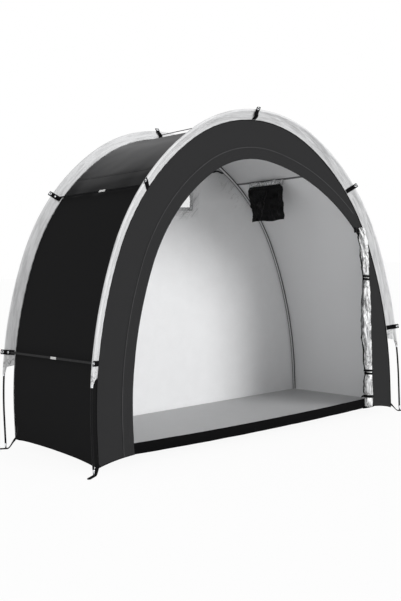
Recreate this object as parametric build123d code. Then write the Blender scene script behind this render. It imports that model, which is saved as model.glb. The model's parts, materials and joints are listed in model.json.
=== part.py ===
"""Two-arch storage tent for bicycles, standing open.

Millimetres. X runs along the tent, -Y is the doorway side, +Z is up.
The origin is on the ground, in the middle of the footprint.
"""
import os
from math import acos, atan2, cos, degrees, hypot, radians, sin, sqrt

from build123d import *

# Arch line, the sewn edge of the end panels: crown, shoulder and haunch arcs, then a straight leg
APEX_HEIGHT = 1535.0
HALF_LENGTH = 948.0
HALF_DEPTH = 374.0
SPRING_HEIGHT = 163.0
CROWN_RADIUS = 703.0
CROWN_ANGLE = 31.0
SHOULDER_ANGLE = 67.5

# Cloth
CLOTH = 3.0
WEBBING = 2.0
GAP = 0.3
CORNER_HEIGHT = 30.0
SIDE_HEM_RISE = 28.0
BACK_HEM_RISE = 24.0
ROOF_SEAM_DROP = 230.0

# Poles, in sleeves that lean away from the tent
ROD_DIAMETER = 9.0
POLE_OFFSET = 40.0
POLE_LEAN = 26.0
SLEEVE_TUBE_DIAMETER = 13.0
SLEEVE_END_HEIGHT = 405.0
FERRULE_LENGTH = 56.0
FERRULE_TOP = 400.0
FERRULE_DIAMETER = 11.6
PIN_LENGTH = 25.0
PIN_TIP_RADIUS = 2.5

# Doorway: an even band on the left and over the top, and a hinge strip on the right
DOOR_BAND = 186.0
DOOR_TURN_ANGLE = 12.0
HINGE_BAND = 160.0
NARROWEST_BAND = 24.0
STORM_FLAP_WIDTH = 55.0
STORM_FLAP_END = 98.0
STORM_FLAP_MARGIN = 4.0
PATCH_WIDTH = 16.0
PATCH_HEIGHT = 27.0
PATCH_DROP = 20.0
FRONT_HEM_RISE = 20.0
FRONT_HEM_BOW = 2.5
SILL_HEIGHT = 50.0
SILL_SAG = 11.0

# Rolled door and its ties, which are measured up from the sill
ROLL_RADIUS = 27.0
ROLL_FORWARD = 6.0
ROLL_TOP_RADIUS = 22.0
ROLL_TOP_RISE = 912.0
ROLL_TOP_LEAN = 30.0
TIE_BAND = 8.0
LOWER_TIE_RISE = 10.0
LOWER_NECK_RADIUS = 25.0
MIDDLE_TIE_RISE = 140.0
MIDDLE_TIE_WIDTH = 24.0
MIDDLE_NECK_RADIUS = 21.0
UPPER_TIE_RISE = 645.0
UPPER_TIE_WIDTH = 26.0
UPPER_NECK_RADIUS = 17.0

# Window in the back panel, and the loop sewn beside it
WINDOW_WIDTH = 380.0
WINDOW_HEIGHT = 150.0
WINDOW_DROP = 221.0
WINDOW_BINDING = 14.0
PANE = 1.0
LOOP_LENGTH = 80.0
LOOP_WIDTH = 9.0
LOOP_DROP = 163.0
LOOP_MARGIN = 10.0

# Flap that hangs inside from its roll, under the right roof seam
VENT_CENTRE_Y = 95.0
VENT_WIDTH = 256.0
VENT_DROP = 205.0
VENT_ROLL_RADIUS = 17.0
VENT_ROLL_DROP = 8.0

# Tabs on the sleeves, eyelets, cross straps and foot straps
TAB_WIDTH = 24.0
TAB_LENGTH = 70.0
TAB_ROOT = 6.0
TAB_UPPER_ANGLE = 50.5
TAB_LOWER_RISE = 65.0
EYELET_BORE_RADIUS = 3.5
EYELET_RADIUS = 7.0
EYELET_THICKNESS = 3.2
EYELET_INSET = 9.0
STRAP_WIDTH = 10.0
STRAP_HEIGHT = 22.0
TAG_LENGTH = 48.0
TAG_WIDTH = 11.0
TAG_FORWARD = 37.0
FOOT_STRAP_WIDTH = 16.0
FOOT_STRAP_REACH = 45.0
FOOT_STRAP_RISE = 6.0

# Arch radii and centres: the tangent arcs have to reach both the half length and the apex
SIN_1, COS_1 = sin(radians(CROWN_ANGLE)), cos(radians(CROWN_ANGLE))
SIN_2, COS_2 = sin(radians(SHOULDER_ANGLE)), cos(radians(SHOULDER_ANGLE))
SPAN_LEFT = HALF_LENGTH - CROWN_RADIUS * SIN_1
RISE_LEFT = APEX_HEIGHT - SPRING_HEIGHT - CROWN_RADIUS * (1 - COS_1)
DETERMINANT = (SIN_2 - SIN_1) * COS_2 - (1 - SIN_2) * (COS_1 - COS_2)
SHOULDER_RADIUS = (SPAN_LEFT * COS_2 - (1 - SIN_2) * RISE_LEFT) / DETERMINANT
HAUNCH_RADIUS = ((SIN_2 - SIN_1) * RISE_LEFT - (COS_1 - COS_2) * SPAN_LEFT) / DETERMINANT
CROWN_Z = APEX_HEIGHT - CROWN_RADIUS
SHOULDER_X = (CROWN_RADIUS - SHOULDER_RADIUS) * SIN_1
SHOULDER_Z = CROWN_Z + (CROWN_RADIUS - SHOULDER_RADIUS) * COS_1
ARCS = [
    (0.0, CROWN_Z, CROWN_RADIUS, 0.0, CROWN_ANGLE),
    (SHOULDER_X, SHOULDER_Z, SHOULDER_RADIUS, CROWN_ANGLE, SHOULDER_ANGLE),
    (HALF_LENGTH - HAUNCH_RADIUS, SPRING_HEIGHT, HAUNCH_RADIUS, SHOULDER_ANGLE, 90.0),
]

FIN_LENGTH = hypot(POLE_OFFSET, POLE_LEAN)
FIN_TILT = atan2(POLE_LEAN, POLE_OFFSET)
ROD_RADIUS = ROD_DIAMETER / 2
FOOT_X = HALF_LENGTH + POLE_OFFSET
FOOT_Y = HALF_DEPTH + POLE_LEAN
INNER_DEPTH = HALF_DEPTH - CLOTH
FLOOR_Z = CORNER_HEIGHT + SIDE_HEM_RISE
JOINT_Z = FERRULE_TOP - FERRULE_LENGTH / 2
JAMB_X = HALF_LENGTH - DOOR_BAND
HINGE_X = HALF_LENGTH - HINGE_BAND
FLAP_END_X = HINGE_X - STORM_FLAP_END
SILL_BOTTOM = CORNER_HEIGHT + FRONT_HEM_RISE
SILL_TOP = SILL_BOTTOM + SILL_HEIGHT
ENDS = (("front", -1), ("back", 1))
SIDES = (("left", -1), ("right", 1))


# Arch line
def arc_at(angle):
    """The arc that the arch line follows at an angle from the vertical."""
    for arc in ARCS:
        if angle <= arc[4]:
            return arc


def arch_height(reach, inset=0.0):
    """Height of the arch line, moved inwards, at a distance from the middle."""
    for x, z, radius, start, end in ARCS:
        if x + (radius - inset) * sin(radians(end)) >= reach:
            return z + sqrt((radius - inset) ** 2 - (reach - x) ** 2)


def arch_reach(height, inset=0.0):
    """Distance of the arch line, moved inwards, from the middle at a height."""
    for x, z, radius, start, end in ARCS:
        if z + (radius - inset) * cos(radians(end)) <= height:
            return x + sqrt((radius - inset) ** 2 - (height - z) ** 2)


def pole_angle(height):
    """Angle from the vertical at which the pole passes a height on the haunch."""
    return degrees(acos((height - SPRING_HEIGHT) / (HAUNCH_RADIUS + POLE_OFFSET)))


TAB_LOWER_ANGLE = pole_angle(SLEEVE_END_HEIGHT + TAB_LOWER_RISE)
TAB_PLACES = {
    "top": (0.0, 1),
    "left_upper": (TAB_UPPER_ANGLE, -1),
    "left_lower": (TAB_LOWER_ANGLE, -1),
    "right_upper": (TAB_UPPER_ANGLE, 1),
    "right_lower": (TAB_LOWER_ANGLE, 1),
}


# Flat outlines, with X and height as their own coordinates
def arch_edges(inset, bottom):
    """Right-hand half of the arch line, moved inwards, from the apex to the bottom."""
    edges = []
    for x, z, radius, start, end in ARCS:
        edges.append(CenterArc((x, z), radius - inset, 90 - end, end - start))
    edges.append(Line((HALF_LENGTH - inset, SPRING_HEIGHT), (HALF_LENGTH - inset, bottom)))
    return edges


def arch_face(inset=0.0, bottom=CORNER_HEIGHT):
    """Everything inside the arch line."""
    right = arch_edges(inset, bottom)
    left = [mirror(edge, about=Plane.YZ) for edge in right]
    reach = HALF_LENGTH - inset
    return make_face(right + left + [Line((-reach, bottom), (reach, bottom))])


def door_shoulder():
    """Centre and radius of the doorway's long arc, from its turn to the top of the hinge."""
    turn = radians(DOOR_TURN_ANGLE)
    start_x = (CROWN_RADIUS - DOOR_BAND) * sin(turn)
    start_z = CROWN_Z + (CROWN_RADIUS - DOOR_BAND) * cos(turn)
    run = HINGE_X - start_x
    rise = arch_height(HINGE_X, NARROWEST_BAND) - start_z
    radius = -(run**2 + rise**2) / (2 * (run * sin(turn) + rise * cos(turn)))
    return start_x - radius * sin(turn), start_z - radius * cos(turn), radius


def door_height(reach, grow=0.0):
    """Height of the doorway's long arc at a distance to the right of the middle."""
    x, z, radius = door_shoulder()
    return z + sqrt((radius + grow) ** 2 - (reach - x) ** 2)


def door_face(grow=0.0, bottom=0.0):
    """The doorway: it follows the arch on the left and runs out to the hinge on the right."""
    left = [mirror(edge, about=Plane.YZ) for edge in arch_edges(DOOR_BAND - grow, bottom)]
    x, z, radius = door_shoulder()
    hinge = HINGE_X + grow
    corner_z = door_height(hinge, grow)
    end = degrees(atan2(hinge - x, corner_z - z))
    crown = CROWN_RADIUS - DOOR_BAND + grow
    right = [
        CenterArc((0, CROWN_Z), crown, 90 - DOOR_TURN_ANGLE, DOOR_TURN_ANGLE),
        CenterArc((x, z), radius + grow, 90 - end, end - DOOR_TURN_ANGLE),
        Line((hinge, corner_z), (hinge, bottom)),
    ]
    return make_face(left + right + [Line((-JAMB_X - grow, bottom), (hinge, bottom))])


def rectangle(x0, x1, z0, z1):
    return Pos((x0 + x1) / 2, (z0 + z1) / 2) * Rectangle(x1 - x0, z1 - z0)


def hem_disc(half_span, rise):
    """Disc below a hem that bows up between two corners."""
    radius = (half_span**2 + rise**2) / (2 * rise)
    return Pos(0, CORNER_HEIGHT + rise - radius) * Circle(radius)


def upright(face, y_front, thickness):
    """Stand a flat outline up across the tent and thicken it towards the back."""
    plane = Plane(origin=(0, y_front + thickness, 0), x_dir=(1, 0, 0), z_dir=(0, -1, 0))
    return extrude(plane * face, amount=thickness)


# Profiles carried round the arch
def arch_run(profile, side, begin, finish):
    """Carry a profile, drawn in Y and height above the arch line, between two angles."""
    sections = []
    for x, z, radius, start, end in ARCS:
        first = max(start, begin)
        last = min(end, finish)
        if first < last:
            axis = Axis((side * x, 0, z), (0, 1, 0))
            placed = Pos(side * x, 0, z + radius) * profile
            turned = placed.rotate(axis, first if side > 0 else -last)
            sections.append(revolve(turned, axis, revolution_arc=last - first))
    return sections


def joined(pieces):
    return pieces[0].fuse(*pieces[1:])


def over_the_top(profile, finish):
    """A profile carried from one side of the arch to the other."""
    return joined(arch_run(profile, 1, 0, finish) + arch_run(profile, -1, 0, finish))


def pole_circle(radius, row):
    """Round profile on the pole's line; row is -1 at the doorway and 1 at the back."""
    return Plane.YZ * (Pos(row * FOOT_Y, POLE_OFFSET) * Circle(radius))


def arch_frame(angle, side, row):
    """Plane at the arch line: x runs out along the sleeve's fin, y out of its face."""
    x, z, radius, start, end = arc_at(angle)
    a = radians(angle)
    origin = (side * (x + radius * sin(a)), row * HALF_DEPTH, z + radius * cos(a))
    fin = (side * sin(a) * cos(FIN_TILT), row * sin(FIN_TILT), cos(a) * cos(FIN_TILT))
    tangent = (-row * cos(a), 0, row * side * sin(a))
    return Plane(origin=origin, x_dir=fin, z_dir=tangent)


# Poles
def build_leg(side, row):
    """Bare lower length of a pole, with the pin that it stands on."""
    circle = pole_circle(ROD_RADIUS, row)
    foot = Pos(side * HALF_LENGTH, 0, SPRING_HEIGHT) * circle.rotate(Axis.Y, side * 90)
    straight = extrude(foot, amount=SPRING_HEIGHT - PIN_LENGTH, dir=(0, 0, -1))
    pin = Cone(PIN_TIP_RADIUS, ROD_RADIUS, PIN_LENGTH)
    pin = Pos(side * FOOT_X, row * FOOT_Y, PIN_LENGTH / 2) * pin
    return joined(arch_run(circle, side, pole_angle(JOINT_Z), 90) + [straight, pin])


def build_poles():
    nodes = {}
    ferrules = []
    top = pole_angle(FERRULE_TOP)
    bottom = pole_angle(FERRULE_TOP - FERRULE_LENGTH)
    for end, row in ENDS:
        circle = pole_circle(ROD_RADIUS, row)
        ring = pole_circle(FERRULE_DIAMETER / 2, row) - circle
        nodes[f"{end}_arch_pole"] = over_the_top(circle, pole_angle(JOINT_Z))
        for name, side in SIDES:
            nodes[f"{end}_{name}_leg"] = build_leg(side, row)
            ferrules.extend(arch_run(ring, side, top, bottom))
    nodes["pole_ferrules"] = Compound(children=ferrules)
    return nodes


def build_sleeves():
    """A fin that leans out from the seam, with a tube round the pole at its edge."""
    nodes = {}
    for end, row in ENDS:
        fin = Polyline(
            (row * HALF_DEPTH, 0),
            (row * FOOT_Y, POLE_OFFSET),
            (row * (FOOT_Y - CLOTH), POLE_OFFSET),
            (row * INNER_DEPTH, 0),
            close=True,
        )
        profile = Plane.YZ * make_face(fin) + pole_circle(SLEEVE_TUBE_DIAMETER / 2, row)
        profile = profile - pole_circle(ROD_RADIUS + GAP, row)
        nodes[f"{end}_sleeve"] = over_the_top(profile, pole_angle(SLEEVE_END_HEIGHT))
    return nodes


# Cloth panels
def build_shell():
    ring = arch_face() - arch_face(CLOTH, CORNER_HEIGHT - CLOTH)
    wide = 2 * HALF_LENGTH
    seam = APEX_HEIGHT - ROOF_SEAM_DROP
    areas = {
        "left_wall": rectangle(-wide, 0, 0, seam),
        "right_wall": rectangle(0, wide, 0, seam),
        "roof_panel": rectangle(-wide, wide, seam, 2 * APEX_HEIGHT),
    }
    hem = extrude(Plane.YZ * hem_disc(INNER_DEPTH, SIDE_HEM_RISE), amount=wide, both=True)
    nodes = {}
    for name, area in areas.items():
        panel = upright(ring & area, -INNER_DEPTH, 2 * INNER_DEPTH)
        nodes[name] = panel if name == "roof_panel" else panel - hem
    return nodes


def front_hem(side, inner):
    """What the hem leaves out of the front panel, between a corner and the doorway."""
    corner = (side * HALF_LENGTH, CORNER_HEIGHT)
    middle_z = (CORNER_HEIGHT + SILL_BOTTOM) / 2 + FRONT_HEM_BOW
    middle = (side * (HALF_LENGTH + inner) / 2, middle_z)
    end = (side * inner, SILL_BOTTOM)
    below = (side * inner, CORNER_HEIGHT)
    return make_face([ThreePointArc(corner, middle, end), Line(end, below), Line(below, corner)])


def sill_edge(height):
    """Edge across the doorway that sags in the middle."""
    middle = ((HINGE_X - JAMB_X) / 2, height - SILL_SAG)
    return ThreePointArc((-JAMB_X, height), middle, (HINGE_X, height))


def build_front():
    panel = arch_face() - door_face() - front_hem(-1, JAMB_X) - front_hem(1, HINGE_X)

    outer = door_face(STORM_FLAP_WIDTH) & arch_face(STORM_FLAP_MARGIN)
    beside_flap = rectangle(-HALF_LENGTH, FLAP_END_X, SILL_BOTTOM, APEX_HEIGHT)
    storm_flap = (outer - door_face(GAP)) & beside_flap

    patch_low = door_height(FLAP_END_X) - PATCH_DROP
    patch = rectangle(FLAP_END_X, FLAP_END_X + PATCH_WIDTH, patch_low, patch_low + PATCH_HEIGHT)

    left = Line((-JAMB_X, SILL_BOTTOM), (-JAMB_X, SILL_TOP))
    right = Line((HINGE_X, SILL_BOTTOM), (HINGE_X, SILL_TOP))
    sill = make_face([sill_edge(SILL_BOTTOM), sill_edge(SILL_TOP), left, right])
    return {
        "front_panel": upright(panel, -HALF_DEPTH, CLOTH),
        "door_storm_flap": upright(storm_flap, -HALF_DEPTH - WEBBING, WEBBING),
        "door_corner_patch": upright(patch, -HALF_DEPTH - WEBBING, WEBBING),
        "door_sill": upright(sill, -HALF_DEPTH, CLOTH),
    }


def build_back():
    top = APEX_HEIGHT - WINDOW_DROP
    bottom = top - WINDOW_HEIGHT
    half = WINDOW_WIDTH / 2
    border = WINDOW_BINDING
    opening = rectangle(-half, half, bottom, top)
    frame = rectangle(-half - border, half + border, bottom - border, top + border)
    panel = arch_face() - hem_disc(HALF_LENGTH, BACK_HEM_RISE) - opening
    loop_top = APEX_HEIGHT - LOOP_DROP
    loop_end = arch_reach(loop_top, LOOP_MARGIN)
    loop = rectangle(loop_end - LOOP_LENGTH, loop_end, loop_top - LOOP_WIDTH, loop_top)
    return {
        "back_panel": upright(panel, INNER_DEPTH, CLOTH),
        "back_window_pane": upright(opening, INNER_DEPTH + (CLOTH - PANE) / 2, PANE),
        "back_window_binding": upright(frame - opening, INNER_DEPTH - WEBBING, WEBBING),
        "back_wall_loop": upright(loop, INNER_DEPTH - WEBBING, WEBBING),
    }


def build_floor():
    reach = HALF_LENGTH - CLOTH
    floor = Pos(0, 0, FLOOR_Z + CLOTH / 2) * Box(2 * reach, 2 * INNER_DEPTH, CLOTH)
    return {"floor_sheet": floor}


# Rolled door
def roll_spot(z, radius, lean=0.0):
    """Place on the roll's axis, where a circle of the radius and its tie clear the hinge."""
    return Pos(HINGE_X - radius - WEBBING - 2 * GAP - lean, -HALF_DEPTH - ROLL_FORWARD, z)


def build_door():
    """Roll beside the hinge, drawn in by its ties; it hangs over the sill and the panel's tip."""
    ties = {
        "door_tie_lower": (LOWER_TIE_RISE, TIE_BAND, LOWER_NECK_RADIUS),
        "door_tie_middle": (MIDDLE_TIE_RISE, MIDDLE_TIE_WIDTH, MIDDLE_NECK_RADIUS),
        "door_tie_upper": (UPPER_TIE_RISE, UPPER_TIE_WIDTH, UPPER_NECK_RADIUS),
    }
    nodes = {}
    below = SILL_BOTTOM
    sections = [roll_spot(below, LOWER_NECK_RADIUS) * Circle(LOWER_NECK_RADIUS)]
    for name, (rise, width, neck) in ties.items():
        low = SILL_TOP + rise - width / 2
        third = (low - below) / 3
        for z, radius in ((below + third, ROLL_RADIUS), (low - third, ROLL_RADIUS), (low, neck)):
            sections.append(roll_spot(z, radius) * Circle(radius))
        below = low + width
        sections.append(roll_spot(below, neck) * Circle(neck))
        ring = Circle(neck + GAP + WEBBING) - Circle(neck + GAP)
        places = {low, below - TIE_BAND}
        bands = [extrude(roll_spot(z, neck) * ring, amount=TIE_BAND) for z in sorted(places)]
        nodes[name] = Compound(children=bands)
    top = SILL_TOP + ROLL_TOP_RISE
    third = (top - below) / 3
    sections.append(roll_spot(below + third, ROLL_RADIUS) * Circle(ROLL_RADIUS))
    sections.append(roll_spot(top - third, ROLL_RADIUS) * Circle(ROLL_RADIUS))
    sections.append(roll_spot(top, ROLL_TOP_RADIUS, ROLL_TOP_LEAN) * Circle(ROLL_TOP_RADIUS))
    roll = loft(sections, ruled=True)

    front = -HALF_DEPTH - ROLL_FORWARD - 2 * ROLL_RADIUS
    beyond = arch_face() - door_face(-GAP, SILL_TOP + GAP)
    inside_arch = upright(arch_face(STORM_FLAP_MARGIN), front, 4 * ROLL_RADIUS)
    nodes["rolled_door"] = roll & inside_arch
    nodes["rolled_door"] -= upright(beyond, -HALF_DEPTH - GAP, 2 * ROLL_RADIUS)
    return nodes


# Flap under the roof seam
def build_vent():
    z = APEX_HEIGHT - ROOF_SEAM_DROP - VENT_ROLL_DROP
    x = arch_reach(z, CLOTH + GAP + VENT_ROLL_RADIUS)
    roll = Pos(x, VENT_CENTRE_Y, z) * Rot(90, 0, 0) * Cylinder(VENT_ROLL_RADIUS, VENT_WIDTH)
    middle = z - VENT_ROLL_RADIUS - GAP - VENT_DROP / 2
    flap = Pos(x, VENT_CENTRE_Y, middle) * Box(CLOTH, VENT_WIDTH, VENT_DROP)
    return {"vent_flap_roll": roll, "vent_flap": flap}


# Webbing and eyelets
def tab_profile(face):
    """Webbing on one face of the fin, stepped over the pole, with a free end."""
    rest = GAP if face > 0 else GAP + CLOTH * cos(FIN_TILT)
    seat = SLEEVE_TUBE_DIAMETER / 2 + GAP
    rise_end = FIN_LENGTH - SLEEVE_TUBE_DIAMETER / 3
    rise_start = rise_end - seat
    points = [
        (TAB_ROOT, rest),
        (rise_start, rest),
        (rise_end, seat),
        (TAB_LENGTH, seat),
        (TAB_LENGTH, seat + WEBBING),
        (rise_end - WEBBING / 2, seat + WEBBING),
        (rise_start - WEBBING / 2, rest + WEBBING),
        (TAB_ROOT, rest + WEBBING),
    ]
    return make_face(Polyline(*[(u, face * v) for u, v in points], close=True))


def build_tabs():
    """Tabs on the side of each sleeve that looks to the front of the tent."""
    ring = Circle(EYELET_RADIUS) - Circle(EYELET_BORE_RADIUS)
    eyelet = extrude(ring, amount=EYELET_THICKNESS / 2, both=True)
    seat = SLEEVE_TUBE_DIAMETER / 2 + GAP + WEBBING / 2
    nodes = {}
    eyelets = []
    for name, (angle, side) in TAB_PLACES.items():
        pair = []
        for end, row in ENDS:
            face = -row
            frame = arch_frame(angle, side, row)
            tab = extrude(frame * tab_profile(face), amount=TAB_WIDTH / 2, both=True)
            hole = frame * Pos(TAB_LENGTH - EYELET_INSET, face * seat, 0) * Rot(90, 0, 0)
            pair.append(tab - hole * Cylinder(EYELET_RADIUS, 3 * WEBBING))
            eyelets.append(hole * eyelet)
        nodes[f"{name}_tabs"] = Compound(children=pair)
    nodes["eyelets"] = Compound(children=eyelets)
    return nodes


def build_cross_straps():
    """Straight straps from the front sleeve to the back tabs, outside the walls."""
    lean = POLE_LEAN / POLE_OFFSET
    front = INNER_DEPTH + (STRAP_HEIGHT - WEBBING / 2) * lean - GAP
    back = front - (WEBBING + GAP) / cos(FIN_TILT)
    strap = Pos(0, (back - front) / 2, 0) * Box(STRAP_WIDTH, front + back, WEBBING)
    nodes = {}
    tags = []
    for name, (angle, side) in TAB_PLACES.items():
        x, z, radius, start, end = arc_at(angle)
        a = radians(angle)
        out = radius + STRAP_HEIGHT
        spot = Pos(side * (x + out * sin(a)), 0, z + out * cos(a)) * Rot(0, side * angle, 0)
        nodes[f"{name}_cross_strap"] = spot * strap
        if angle > 0:
            tag = Box(TAG_WIDTH, TAG_LENGTH, WEBBING)
            tags.append(spot * Pos(0, -TAG_FORWARD, WEBBING) * tag)
    nodes["strap_tags"] = Compound(children=tags)
    return nodes


def build_foot_straps():
    """Webbing from each cloth corner to the ground, with a hole for the pole's pin."""
    high = CORNER_HEIGHT + FOOT_STRAP_RISE
    slope_end = FIN_LENGTH - ROD_DIAMETER
    reach = FIN_LENGTH + FOOT_STRAP_REACH
    profile = Polyline(
        (GAP, high),
        (slope_end, 0),
        (reach, 0),
        (reach, WEBBING),
        (slope_end + WEBBING, WEBBING),
        (GAP, high + 3 * WEBBING),
        close=True,
    )
    band = extrude(Plane.XZ * make_face(profile), amount=FOOT_STRAP_WIDTH / 2, both=True)
    round_end = Pos(reach, 0, WEBBING / 2) * Cylinder(FOOT_STRAP_WIDTH / 2, WEBBING)
    pin_hole = Pos(FIN_LENGTH, 0, 0) * Cylinder(ROD_RADIUS + GAP, 4 * WEBBING)
    strap = band + round_end - pin_hole
    nodes = {}
    for end, row in ENDS:
        for name, side in SIDES:
            turn = degrees(atan2(row * POLE_LEAN, side * POLE_OFFSET))
            corner = Pos(side * HALF_LENGTH, row * HALF_DEPTH, 0)
            nodes[f"{end}_{name}_foot_strap"] = corner * Rot(0, 0, turn) * strap
    return nodes


def main():
    builders = [
        build_poles,
        build_sleeves,
        build_shell,
        build_front,
        build_back,
        build_floor,
        build_door,
        build_vent,
        build_tabs,
        build_cross_straps,
        build_foot_straps,
    ]
    os.makedirs("parts", exist_ok=True)
    for build in builders:
        for name, shape in build().items():
            export_step(shape, f"parts/{name}.step")


main()
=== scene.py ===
"""Cloth, webbing and metal of a two-arch storage tent for bicycles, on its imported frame."""
import json
from itertools import accumulate
from math import asin, atan2, cos, dist, exp, hypot, pi, radians, sin, sqrt

import bpy
import numpy as np
from mathutils import Matrix, Vector, geometry, noise


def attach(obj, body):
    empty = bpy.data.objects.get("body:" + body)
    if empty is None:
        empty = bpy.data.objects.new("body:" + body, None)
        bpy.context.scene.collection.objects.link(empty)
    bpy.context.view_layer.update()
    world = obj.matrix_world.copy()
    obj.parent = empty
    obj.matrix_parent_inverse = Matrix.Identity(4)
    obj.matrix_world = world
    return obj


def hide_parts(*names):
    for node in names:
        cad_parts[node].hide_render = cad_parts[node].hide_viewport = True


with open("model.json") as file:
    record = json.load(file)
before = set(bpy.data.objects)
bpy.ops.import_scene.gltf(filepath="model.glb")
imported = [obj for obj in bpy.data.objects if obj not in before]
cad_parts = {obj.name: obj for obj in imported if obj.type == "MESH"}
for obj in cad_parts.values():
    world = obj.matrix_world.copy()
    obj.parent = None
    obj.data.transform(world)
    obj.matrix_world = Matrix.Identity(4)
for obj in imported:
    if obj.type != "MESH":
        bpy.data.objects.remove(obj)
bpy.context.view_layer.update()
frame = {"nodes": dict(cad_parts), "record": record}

# Sizes of the CAD model, in metres
APEX, HALF, DEPTH = 1.535, 0.948, 0.374
SPRING, CORNER = 0.163, 0.030
CROWN_R, SHOULDER_R, HAUNCH_R = 0.703, 1.058935, 2.009862
CROWN_A, SHOULDER_A = radians(31.0), radians(67.5)
CROWN = (0.0, APEX - CROWN_R)
SHOULDER = (
    (CROWN_R - SHOULDER_R) * sin(CROWN_A),
    CROWN[1] + (CROWN_R - SHOULDER_R) * cos(CROWN_A),
)
HAUNCH = (HALF - HAUNCH_R, SPRING)
INNER = 0.371
BAND = 0.186
DOOR_TURN = radians(12.0)
# The doorway's right-hand arc, as centre x, centre z and radius
DOOR_ARC = (-0.123092, 0.252897, 1.109041)
HINGE_X, JAMB_X = 0.788, -0.762
SILL_LOW, SILL_TOP = 0.050, 0.100
ROOF_SEAM = 1.305
POLE_OUT, POLE_LEAN = 0.040, 0.026
FIN = hypot(POLE_OUT, POLE_LEAN)
WINDOW_X, WINDOW_Z, WINDOW_RISE = 0.190, 1.239, 0.075
TAU = 2 * pi

# Places and thicknesses of the cloth, in metres
FRONT_FACE, SILL_FACE, BACK_FACE = -0.3726, -0.3722, 0.3722
CLOTH, TAPE = 0.0012, 0.0007
DOOR_STEP = 0.012
SLEEVE_END = 0.392
ENDS = (("front", -1), ("back", 1))
SIDES = (("left", -1), ("right", 1))

# Arc lengths from the apex at which the arch line changes its curve
S1 = CROWN_R * CROWN_A
S2 = S1 + SHOULDER_R * (SHOULDER_A - CROWN_A)
S3 = S2 + HAUNCH_R * (pi / 2 - SHOULDER_A)
S4 = S3 + SPRING - CORNER


def arch(s, inset=0.0):
    """Point (x, z) of the arch line, moved inwards, and its outward normal."""
    side, t = (1 if s >= 0 else -1), abs(s)
    if t > S3:
        return side * (HALF - inset), SPRING - (t - S3), side * 1.0, 0.0
    if t <= S1:
        (x, z), r, a = CROWN, CROWN_R, t / CROWN_R
    elif t <= S2:
        (x, z), r, a = SHOULDER, SHOULDER_R, CROWN_A + (t - S1) / SHOULDER_R
    else:
        (x, z), r, a = HAUNCH, HAUNCH_R, SHOULDER_A + (t - S2) / HAUNCH_R
    nx, nz = sin(a), cos(a)
    return side * (x + (r - inset) * nx), z + (r - inset) * nz, side * nx, nz


def arch_coords(x, z):
    """Arc length and inset of a point inside the arch."""
    side, x = (1 if x >= 0 else -1), abs(x)
    if z <= SPRING:
        return side * (S3 + SPRING - z), HALF - x
    for (cx, cz), r, start, first, last in (
        (CROWN, CROWN_R, 0.0, 0.0, CROWN_A),
        (SHOULDER, SHOULDER_R, S1, CROWN_A, SHOULDER_A),
        (HAUNCH, HAUNCH_R, S2, SHOULDER_A, pi),
    ):
        a = atan2(x - cx, z - cz)
        if a <= last:
            return side * (start + (a - first) * r), r - hypot(x - cx, z - cz)


def length_at(height):
    """Arc length at which the right half of the arch line passes a height."""
    low, high = 0.0, S4
    for _ in range(40):
        mid = (low + high) / 2
        low, high = (mid, high) if arch(mid)[1] > height else (low, mid)
    return low


SEAM_S = length_at(ROOF_SEAM)


def smooth(a, b, x):
    """0 below a, 1 above b and an even rise between them."""
    t = min(max((x - a) / (b - a), 0.0), 1.0)
    return t * t * (3 - 2 * t)


def bell(x, width):
    """1 at zero, falling to both sides."""
    return exp(-((x / width) ** 2))


def rough(x, y, z, octaves=4):
    """Noise about zero, the same in every run."""
    return noise.fractal(Vector((x, y, z)), 0.9, 2.1, octaves)


def steps(low, high, count, crowd=0.0):
    """Even steps, crowded towards both ends when asked."""
    even = [i / count for i in range(count + 1)]
    return [low + (high - low) * (t - crowd * sin(TAU * t) / TAU) for t in even]


# Mesh helpers
def add(name, data):
    """A new object in the scene."""
    obj = bpy.data.objects.new(name, data)
    bpy.context.scene.collection.objects.link(obj)
    return obj


def make(name, verts, faces, uvs=None, out=None):
    """A mesh object; its faces look along out, a direction or a function of their middles."""
    verts = [tuple(v) for v in verts]
    if out is not None:
        total = 0.0
        for f in faces[:: max(1, len(faces) // 400)]:
            a, b, c = (Vector(verts[i]) for i in f[:3])
            wanted = out((a + b + c) / 3) if callable(out) else out
            total += (b - a).cross(c - a).normalized().dot(Vector(wanted))
        if total < 0:
            faces = [tuple(reversed(f)) for f in faces]
    mesh = bpy.data.meshes.new(name)
    mesh.from_pydata(verts, [], faces)
    if uvs is not None:
        index = np.empty(len(mesh.loops), np.int32)
        mesh.loops.foreach_get("vertex_index", index)
        layer = mesh.uv_layers.new(name="UVMap")
        layer.data.foreach_set("uv", np.asarray(uvs, np.float32)[index].ravel())
    mesh.shade_smooth()
    return add(name, mesh)


def lattice(rows, closed=False, caps=False):
    """Vertices and quads of rows of points, wrapped along each row if closed, with end caps."""
    n, m = len(rows), len(rows[0])
    verts = [p for row in rows for p in row]
    faces = []
    for i in range(n - 1):
        for j in range(m if closed else m - 1):
            k = (j + 1) % m
            faces.append((i * m + j, i * m + k, (i + 1) * m + k, (i + 1) * m + j))
    if caps:
        faces.append(tuple(range(m)))
        faces.append(tuple(reversed(range(len(verts) - m, len(verts)))))
    return verts, faces


def surface(name, along, across, place, out=None, closed=False):
    """A mesh over two lists of steps; place gives a point and its spot on the flat cloth."""
    rows = [[place(a, b) for b in across] for a in along]
    verts, faces = lattice([[point for point, spot in row] for row in rows], closed, closed)
    return make(name, verts, faces, [spot for row in rows for point, spot in row], out)


def finish_piece(obj, *materials, replaces=(), slot=None):
    for m in materials:
        obj.data.materials.append(m)
    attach(obj, "root")
    if replaces:
        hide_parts(*replaces)
    return obj


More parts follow.
